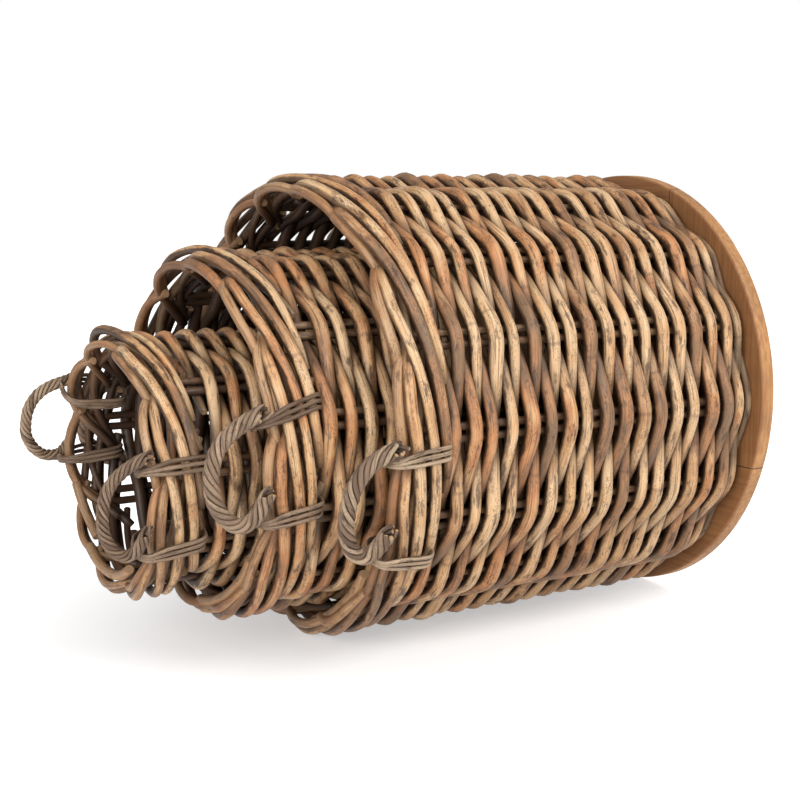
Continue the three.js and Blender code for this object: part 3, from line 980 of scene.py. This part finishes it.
def cane_finish(name, colours, tones, rod_radius, gloss, crevice, depths):
    """Weathered cane: every rod has its own tone, streaks, speckles and node rings, and painted shade
    with some grime darkens its sides. The crevice gives where that darkness of a rod's sides starts and
    ends, and how strong it is. The depths are the shares of the wall between which painted shade sets
    in; at the rim, where light reaches in, less of it is painted and a painted warm light is laid on."""
    finish = Finish(name)
    place = finish.node("ShaderNodeUVMap", {"uv_map": "UVMap"})
    along = finish.part(place, "X")
    around = finish.part(place, "Y") * math.tau
    tone = finish.attribute("tone")
    shade = finish.attribute("shade")
    rim = finish.attribute("rim")
    # Share of the painted shade that is kept: less of it at the rim, where light reaches in
    shade_kept = 1 - rim * RIM_SHADE_LIFT
    cosine = finish.math("COSINE", around)
    sine = finish.math("SINE", around)
    position = finish.vector(
        along + tone * 43.0, cosine * rod_radius + tone * 5.0, sine * rod_radius + tone * 9.0
    )
    slow = finish.noise(finish.stretched(position, 9, 25, 25))
    patches = finish.noise(finish.stretched(position, 40, 110, 110), 3.0)
    stains = finish.noise(finish.stretched(position, 45, 170, 170), 4.0, 0.65)
    streaks = finish.noise(finish.stretched(position, 26, 800, 800), 3.0, 0.6)
    lines = finish.noise(finish.stretched(position, 15, 620, 620), 4.0, 0.7)
    specks = finish.noise(finish.stretched(position, 420, 1100, 1100), 2.0, 0.6)
    hue = tone * 0.72 + slow * 1.0 + patches * 0.5 - 0.62
    colour_value = finish.ramp(hue, tones)
    tint = streaks.between(0.3, 0.7) * 0.4 + 0.80
    colour_value = finish.tinted(colour_value, tint)
    speckled = specks.between(0.55, 0.63) * patches.between(0.42, 0.58)
    colour_value = finish.mix(speckled * SPECKS, colour_value, colours.stain)
    colour_value = finish.mix(lines.between(0.55, 0.63) * LINES, colour_value, colours.stain)
    colour_value = finish.mix(stains.between(0.53, 0.67) * STAINS, colour_value, colours.stain)
    beat = along / NODE_SPACING + tone * 17.0
    gap = (finish.math("FRACT", beat) - 0.5) * NODE_SPACING
    off = finish.math("ABSOLUTE", gap)
    ring = 1 - off.between(0.0003, 0.0030)
    swell = 1 - off.between(0.001, 0.008)
    colour_value = finish.mix(ring * RINGS, colour_value, colours.stain)
    # Painted warm light on the inner side near the rim, where light reaches in
    colour_value = finish.mix(rim * PAINTED_WARM_LIGHT, colour_value, colours.orange)
    # Painted shade with some grime on the rods' sides, where they lie against their neighbours; stains
    # and streaks break up its edge
    side = 1 - cosine + (stains - 0.5) * 1.2 + (streaks - 0.5) * 0.5
    low, high, strength = crevice
    side_shade_and_grime = side.between(low, high) * strength * shade_kept
    colour_value = finish.mix(side_shade_and_grime, colour_value, colours.shadow)
    # Painted shade, deeper in the wall
    depth = shade.between(*depths)
    colour_value = finish.mix(depth * PAINTED_DEPTH_SHADE * shade_kept, colour_value, colours.shadow)
    height = streaks * 0.35 + swell * 0.7 - ring * 0.2 + patches * 0.3 - speckled * 0.2
    bump = finish.node("ShaderNodeBump", sockets={"Height": height, "Strength": 0.5, "Distance": 0.0008})
    roughness = gloss + patches * 0.2 + streaks * 0.12
    return finish.surface({"Base Color": colour_value, "Roughness": roughness, "Normal": bump})


def cut_finish(name, colours):
    """Cut ends of rods, pale and porous."""
    finish = Finish(name)
    place = finish.node("ShaderNodeTexCoord", output="Object")
    pores = finish.noise(finish.stretched(place, 1800, 1800, 1800), 2.0)
    colour_value = finish.mix(pores.between(0.45, 0.7) * 0.6, colours.pith, colours.stain)
    return finish.surface({"Base Color": colour_value, "Roughness": 0.8})


def cane_finishes(kind, colours, tones, **looks):
    """The finish of one kind of rods and that of their cut ends."""
    cane = cane_finish(f"{kind}_cane_finish", colours, tones, **looks)
    return cane, cut_finish(f"{kind}_cut_finish", colours)


def wood_finish(name, colours, basket):
    """Board planks laid in a pinwheel, with lengthwise grain and thin dark seams."""
    finish = Finish(name)
    place = finish.node("ShaderNodeTexCoord", output="Object")
    across = finish.part(place, "Y")
    height = finish.part(place, "Z")
    behind = finish.part(place, "X") - basket.front
    seam_height = height - (basket.axis - LYING_SEAM * basket.radius)
    seam_across = across + UPRIGHT_SEAM * basket.radius
    above = finish.math("GREATER_THAN", seam_height, 0.0)
    upright = above * finish.math("LESS_THAN", seam_across, 0.0)
    lying_grain = finish.noise(finish.stretched(place, 260, 9, 260), 4.0, 0.62)
    upright_grain = finish.noise(finish.stretched(place, 260, 260, 9), 4.0, 0.62)
    grain = lying_grain + upright * (upright_grain - lying_grain)
    broad = finish.noise(finish.stretched(place, 30, 5, 30), 3.0)
    years = grain.between(0.35, 0.7) * 0.8
    colour_value = finish.mix(years, colours.wood, colours.wood_dark)
    tint = broad.between(0.3, 0.7) * 0.25 + 0.86
    colour_value = finish.tinted(colour_value, tint)
    # The front face darker than the edge, fading out over its rounded edge
    face = 1 - (behind - basket.face).between(*FACE_DARKENING_DEPTH)
    colour_value = finish.mix(face * 0.55, colour_value, colours.wood_face)
    level = finish.math("ABSOLUTE", seam_height)
    plumb = finish.math("ABSOLUTE", seam_across)
    seam = (1 - level.between(*SEAM_EDGE)) + above * (1 - plumb.between(*SEAM_EDGE))
    colour_value = finish.mix(finish.math("MINIMUM", seam, 1.0) * 0.85, colour_value, colours.stain)
    sockets = {"Height": grain - seam, "Strength": 0.4, "Distance": 0.0005}
    bump = finish.node("ShaderNodeBump", sockets=sockets)
    return finish.surface({"Base Color": colour_value, "Roughness": 0.5 + grain * 0.15, "Normal": bump})


def cane_tones(colours):
    """The colours that the cane of walls and borders takes as its tone rises."""
    return tone_stops(
        (0.04, colours.grey), (0.18, colours.brown), (0.34, colours.golden), (0.50, colours.cream),
        (0.64, colours.golden), (0.78, colours.orange), (0.90, colours.brown), (1.0, colours.grey),
    )


class BasketWalls(bpy.types.Operator):
    """Weave the walls of the baskets"""

    bl_idname = "baskets.walls"
    bl_label = "Weave walls"

    def execute(self, context):
        colours = context.scene.basket_colour
        finishes = cane_finishes(
            "weave", colours, cane_tones(colours), rod_radius=0.0058, gloss=0.36,
            crevice=(0.55, 1.05, 0.92), depths=(0.24, 0.54),
        )
        for basket in BASKETS:
            build_walls(basket, context.scene, finishes)
        return {"FINISHED"}


class BasketCages(bpy.types.Operator):
    """Set the stakes and plait the borders"""

    bl_idname = "baskets.cages"
    bl_label = "Plait borders"

    def execute(self, context):
        colours = context.scene.basket_colour
        finishes = cane_finishes(
            "border", colours, cane_tones(colours), rod_radius=0.005, gloss=0.36,
            crevice=(0.42, 0.95, 0.95), depths=(0.10, 0.48),
        )
        for basket in BASKETS:
            build_cage(basket, context.scene, finishes)
        return {"FINISHED"}


class BasketHandles(bpy.types.Operator):
    """Twist the rope handles and lash them to the borders"""

    bl_idname = "baskets.handles"
    bl_label = "Lash handles"

    def execute(self, context):
        colours = context.scene.basket_colour
        tones = tone_stops((0.15, colours.rope_dark), (0.5, colours.rope), (1.0, colours.rope_pale))
        finishes = cane_finishes(
            "rope", colours, tones, rod_radius=0.0022, gloss=0.5,
            crevice=(0.6, 1.2, 0.8), depths=(0.10, 0.48),
        )
        for basket in BASKETS:
            build_handles(basket, context.scene, finishes)
        return {"FINISHED"}


class BasketBoards(bpy.types.Operator):
    """Make the base boards"""

    bl_idname = "baskets.boards"
    bl_label = "Make boards"

    def execute(self, context):
        for basket in BASKETS:
            wood = wood_finish(f"{basket.name}_board_finish", context.scene.basket_colour, basket)
            build_board(basket, (wood,))
        return {"FINISHED"}


class BasketStage(bpy.types.Operator):
    """Lay the floor and set up the light and the camera"""

    bl_idname = "baskets.stage"
    bl_label = "Set the stage"

    def execute(self, context):
        stage = context.scene.basket_stage
        add_floor(stage)
        add_lamp("key_light", (0.6, -1.9, 1.92), size=1.3, power=stage.light)
        add_lamp("fill_light", (-2.2, -1.6, 1.0), size=1.6, power=stage.light * 1.15)
        add_sky(stage.sky)
        add_camera(stage)
        context.scene.view_settings.view_transform = "Standard"
        return {"FINISHED"}


def floor_finish(stage):
    """A white floor that keeps soft shadows near the baskets and glows white further away."""
    finish = Finish("floor_finish")
    place = finish.node("ShaderNodeTexCoord", output="Object")
    away = finish.node("ShaderNodeVectorMath", {"operation": "LENGTH"}, {0: place}, "Value")
    camera, glossy, clear = (
        finish.node("ShaderNodeLightPath", output=f"Is {kind} Ray")
        for kind in ("Camera", "Glossy", "Transmission")
    )
    seen = finish.math("ADD", camera + glossy, clear, clamp=True)
    glow = seen * (stage.glow + (1 - stage.glow) * away.between(0.15, 0.75))
    colour_value = finish.mix(seen, stage.floor, stage.floor_seen)
    return finish.surface({
        "Base Color": colour_value, "Roughness": 0.9,
        "Emission Color": finish.vector(glow, glow, glow), "Emission Strength": 1.0,
    })


def add_floor(stage):
    bm = bmesh.new()
    bmesh.ops.create_circle(bm, cap_ends=True, segments=96, radius=12.0)
    made_object(bm, "floor", (floor_finish(stage),))


def add_lamp(name, place, size, power):
    lamp = bpy.data.lights.new(name, "AREA")
    lamp.shape = "DISK"
    lamp.size = size
    lamp.energy = power
    placed = linked(name, lamp)
    placed.location = place
    aim = Vector((0.0, 0.0, 0.2)) - Vector(place)
    placed.rotation_euler = aim.to_track_quat("-Z", "Y").to_euler()


def add_sky(strength):
    """A soft white world, pure white where the camera sees it."""
    world = bpy.data.worlds.new("studio")
    world.use_nodes = True
    tree = world.node_tree
    tree.nodes.clear()
    output = tree.nodes.new("ShaderNodeOutputWorld")
    seen = tree.nodes.new("ShaderNodeBackground")
    seen.inputs["Strength"].default_value = 1.0
    lighting = tree.nodes.new("ShaderNodeBackground")
    lighting.inputs["Strength"].default_value = strength
    for background in (seen, lighting):
        background.inputs["Color"].default_value = (1, 1, 1, 1)
    choice = tree.nodes.new("ShaderNodeMixShader")
    path = tree.nodes.new("ShaderNodeLightPath")
    tree.links.new(path.outputs["Is Camera Ray"], choice.inputs[0])
    tree.links.new(lighting.outputs[0], choice.inputs[1])
    tree.links.new(seen.outputs[0], choice.inputs[2])
    tree.links.new(choice.outputs[0], output.inputs["Surface"])
    bpy.context.scene.world = world


def add_camera(stage):
    camera = bpy.data.cameras.new("camera")
    camera.lens = stage.lens
    camera.sensor_width = 36
    camera.clip_start = 0.05
    placed = linked("camera", camera)
    placed.location = stage.camera_place
    placed.rotation_euler = Vector(stage.camera_aim).to_track_quat("-Z", "Y").to_euler()
    bpy.context.scene.camera = placed


class BasketPanel(bpy.types.Panel):
    """Lists what can be made"""

    bl_label = "Baskets"
    bl_idname = "VIEW3D_PT_baskets"
    bl_space_type = "VIEW_3D"
    bl_region_type = "UI"
    bl_category = "Baskets"

    def draw(self, context):
        for operator in OPERATORS:
            self.layout.operator(operator.bl_idname)
        for name, settings in SETTINGS.items():
            box = self.layout.box()
            for key in settings.__annotations__:
                box.prop(getattr(context.scene, name), key)


OPERATORS = (BasketWalls, BasketCages, BasketHandles, BasketBoards, BasketStage)
CLASSES = (*SETTINGS.values(), *OPERATORS, BasketPanel)


def register():
    for cls in CLASSES:
        bpy.utils.register_class(cls)
    for name, settings in SETTINGS.items():
        setattr(bpy.types.Scene, name, PointerProperty(type=settings))


def unregister():
    for name in SETTINGS:
        delattr(bpy.types.Scene, name)
    for cls in reversed(CLASSES):
        bpy.utils.unregister_class(cls)


def main():
    register()
    bpy.ops.baskets.walls()
    bpy.ops.baskets.cages()
    bpy.ops.baskets.handles()
    bpy.ops.baskets.boards()
    bpy.ops.baskets.stage()


if __name__ == "__main__":
    main()
